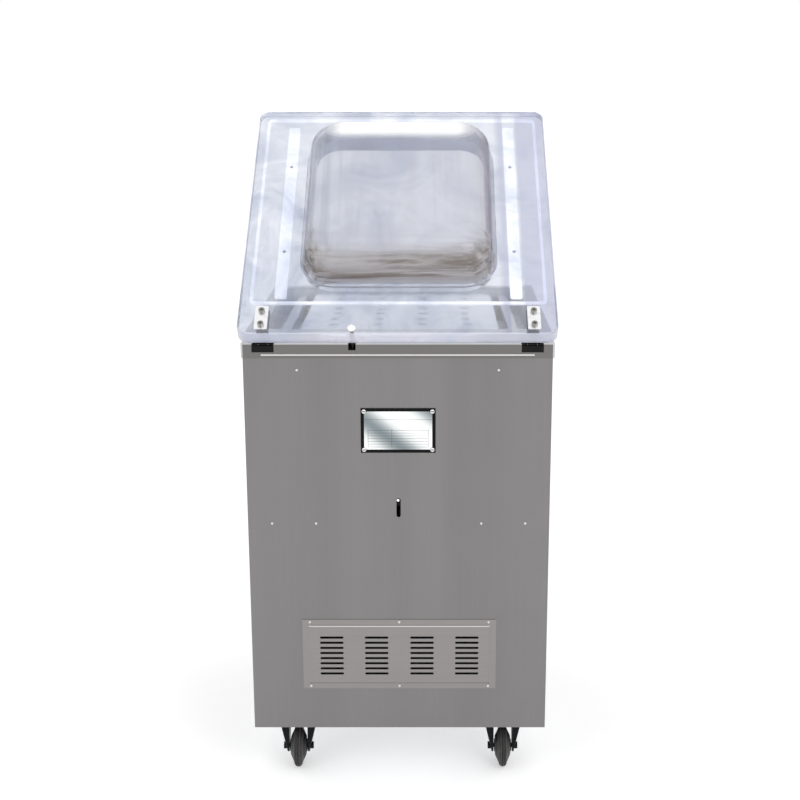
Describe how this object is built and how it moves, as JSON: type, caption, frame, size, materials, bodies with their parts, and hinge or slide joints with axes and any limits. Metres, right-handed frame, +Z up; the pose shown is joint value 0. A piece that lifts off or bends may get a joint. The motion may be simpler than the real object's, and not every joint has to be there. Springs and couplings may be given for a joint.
{
  "type": "vacuum packing machine",
  "caption": "Floor-standing chamber vacuum packer on swivel casters: stainless cabinet, domed clear lid hinged at the rear, seal bars in a shallow deck well, louvred rear panel.",
  "frame": {"origin": "centre of the bounding box at floor level, lid open", "axes": "+Z up, -Y towards the operator, +Y to the hinged rear side"},
  "size_m": [0.516, 0.5646, 1.1294],
  "materials": {
    "tray_steel": "mill",
    "panel_steel": "vertical brushed",
    "deck_steel": "satin",
    "filler_white": "matte",
    "louvre_steel": "horizontal brushed",
    "nameplate_metal": "satin",
    "slotted_screw": "dull",
    "screw_steel": "bright",
    "black_metal": "satin",
    "bright_steel": "polished",
    "strut_paint": "gloss",
    "clear_acrylic": "clear polished",
    "white_silicone": "satin",
    "white_strip": "satin",
    "bolt_steel": "bright",
    "black_plastic": "matte",
    "red_plastic": "gloss",
    "seal_aluminium": "satin",
    "brass_fitting": "satin",
    "blue_hose": "satin",
    "valve_black": "matte",
    "black_hose": "matte",
    "cast_pump": "painted cast",
    "motor_paint": "satin",
    "mount_rubber": "matte",
    "oil_glass": "clear",
    "filter_white": "satin",
    "copper_winding": "varnished",
    "board_green": "lacquered",
    "fascia_paint": "satin",
    "gauge_chrome": "polished",
    "dial_white": "matte",
    "needle_red": "matte",
    "display_dark": "gloss",
    "green_button": "gloss",
    "amber_button": "gloss",
    "rocker_black": "gloss",
    "stop_red": "gloss",
    "fork_black": "satin",
    "wheel_black": "ribbed",
    "zinc_plate": "zinc"
  },
  "bodies": {
    "cabinet": {"base_tray": "tray_steel", "rear_panel": "panel_steel", "front_panel": "panel_steel", "side_panel_left": "panel_steel", "side_panel_right": "panel_steel", "deck": "deck_steel", "upper_frame": "tray_steel", "chamber_tray": "deck_steel", "filler_plate": "filler_white", "louvre_cover": "louvre_steel", "nameplate": "nameplate_metal", "nameplate_screws": "slotted_screw", "panel_screws": "screw_steel", "hinge_blocks": "black_metal", "hinge_pins": "bright_steel", "strut_adjuster": "screw_steel", "microswitch": "black_plastic", "lift_cylinders": "brass_fitting", "air_hoses": "blue_hose", "solenoid_valves": "valve_black", "vacuum_hose": "black_hose", "pump_body": "cast_pump", "pump_motor": "motor_paint", "pump_mounts": "mount_rubber", "oil_sight_glass": "oil_glass", "exhaust_filter": "filter_white", "transformer": "copper_winding", "control_board": "board_green", "fascia_plate": "fascia_paint", "gauge_bezel": "gauge_chrome", "gauge_dial": "dial_white", "display_window": "display_dark", "cable_gland": "black_plastic", "caster_plates": "zinc_plate"},
    "lid": {"lid": "clear_acrylic", "lid_gasket": "white_silicone", "pressure_strips": "white_strip", "strip_screws": "screw_steel", "lid_hinge_plates": "bright_steel", "lid_bolts": "bolt_steel", "trigger_bolt": "bolt_steel", "hinge_yoke": "black_metal"},
    "strut_cylinder": {"strut_cylinder": "strut_paint"},
    "strut_rod": {"strut_rod": "bright_steel"},
    "switch_plunger": {"microswitch_plunger": "red_plastic"},
    "seal_bar_left": {"seal_bar_left": "seal_aluminium"},
    "seal_bar_right": {"seal_bar_right": "seal_aluminium"},
    "gauge_needle": {"gauge_needle": "needle_red"},
    "vacuum_button": {"vacuum_button": "green_button"},
    "seal_button": {"seal_button": "amber_button"},
    "power_rocker": {"power_rocker": "rocker_black"},
    "emergency_stop": {"emergency_stop": "stop_red"},
    "caster_fork_1": {"caster_fork_1": "fork_black"},
    "caster_wheel_1": {"caster_wheel_1": "wheel_black"},
    "caster_fork_2": {"caster_fork_2": "fork_black"},
    "caster_wheel_2": {"caster_wheel_2": "wheel_black"},
    "caster_fork_3": {"caster_fork_3": "fork_black"},
    "caster_wheel_3": {"caster_wheel_3": "wheel_black"},
    "caster_fork_4": {"caster_fork_4": "fork_black"},
    "caster_wheel_4": {"caster_wheel_4": "wheel_black"}
  },
  "joints": [
    {"name": "lid_hinge", "type": "hinge", "parent": "cabinet", "child": "lid", "pos_m": [0, 0.26, 0.775], "axis": [1, 0, 0], "range_deg": [0, 38.5], "stiffness_Nm_per_rad": 10, "springref_deg": -120.32},
    {"name": "strut_swing", "type": "hinge", "parent": "cabinet", "child": "strut_cylinder", "pos_m": [0, 0.248, 0.5145], "axis": [1, 0, 0], "range_deg": [-5.2, 0.1]},
    {"name": "strut_slide", "type": "slide", "parent": "strut_cylinder", "child": "strut_rod", "axis": [0, -0.1461, 0.9893], "range_m": [-0.0277, 0.0002]},
    {"name": "switch_press", "type": "slide", "parent": "cabinet", "child": "switch_plunger", "axis": [0, 0, -1], "range_m": [0, 0.0031], "stiffness_N_per_m": 100},
    {"name": "seal_bar_left_lift", "type": "slide", "parent": "cabinet", "child": "seal_bar_left", "axis": [0, 0, 1], "range_m": [0, 0.0115], "stiffness_N_per_m": 300},
    {"name": "seal_bar_right_lift", "type": "slide", "parent": "cabinet", "child": "seal_bar_right", "axis": [0, 0, 1], "range_m": [0, 0.0115], "stiffness_N_per_m": 300},
    {"name": "gauge_needle_turn", "type": "hinge", "parent": "cabinet", "child": "gauge_needle", "pos_m": [-0.125, -0.2655, 0.65], "axis": [0, 1, 0], "range_deg": [0, 270], "stiffness_Nm_per_rad": 0.0005},
    {"name": "vacuum_button_press", "type": "slide", "parent": "cabinet", "child": "vacuum_button", "axis": [0, 1, 0], "range_m": [0, 0.003], "stiffness_N_per_m": 400},
    {"name": "seal_button_press", "type": "slide", "parent": "cabinet", "child": "seal_button", "axis": [0, 1, 0], "range_m": [0, 0.003], "stiffness_N_per_m": 400},
    {"name": "power_rocker_tilt", "type": "hinge", "parent": "cabinet", "child": "power_rocker", "pos_m": [0.08, -0.267, 0.65], "axis": [1, 0, 0], "range_deg": [-8, 8]},
    {"name": "emergency_stop_press", "type": "slide", "parent": "cabinet", "child": "emergency_stop", "axis": [0, 1, 0], "range_m": [0, 0.005]},
    {"name": "caster_swivel_1", "type": "hinge", "parent": "cabinet", "child": "caster_fork_1", "pos_m": [-0.181, -0.208, 0.095], "axis": [0, 0, 1], "continuous": true},
    {"name": "caster_roll_1", "type": "hinge", "parent": "caster_fork_1", "child": "caster_wheel_1", "pos_m": [-0.181, -0.184, 0.0375], "axis": [1, 0, 0], "continuous": true},
    {"name": "caster_swivel_2", "type": "hinge", "parent": "cabinet", "child": "caster_fork_2", "pos_m": [0.181, -0.208, 0.095], "axis": [0, 0, 1], "continuous": true},
    {"name": "caster_roll_2", "type": "hinge", "parent": "caster_fork_2", "child": "caster_wheel_2", "pos_m": [0.181, -0.184, 0.0375], "axis": [1, 0, 0], "continuous": true},
    {"name": "caster_swivel_3", "type": "hinge", "parent": "cabinet", "child": "caster_fork_3", "pos_m": [-0.181, 0.184, 0.095], "axis": [0, 0, 1], "continuous": true},
    {"name": "caster_roll_3", "type": "hinge", "parent": "caster_fork_3", "child": "caster_wheel_3", "pos_m": [-0.181, 0.208, 0.0375], "axis": [1, 0, 0], "continuous": true},
    {"name": "caster_swivel_4", "type": "hinge", "parent": "cabinet", "child": "caster_fork_4", "pos_m": [0.181, 0.184, 0.095], "axis": [0, 0, 1], "continuous": true},
    {"name": "caster_roll_4", "type": "hinge", "parent": "caster_fork_4", "child": "caster_wheel_4", "pos_m": [0.181, 0.208, 0.0375], "axis": [1, 0, 0], "continuous": true}
  ],
  "couplings": [
    {"joint": "strut_swing", "follows": "lid_hinge", "ratio": -0.1286},
    {"joint": "strut_slide", "follows": "lid_hinge", "m_per_rad": -0.04103},
    {"joint": "switch_press", "follows": "lid_hinge", "m_per_rad": 0.004465},
    {"joint": "seal_bar_right_lift", "follows": "seal_bar_left_lift", "ratio": 1}
  ]
}
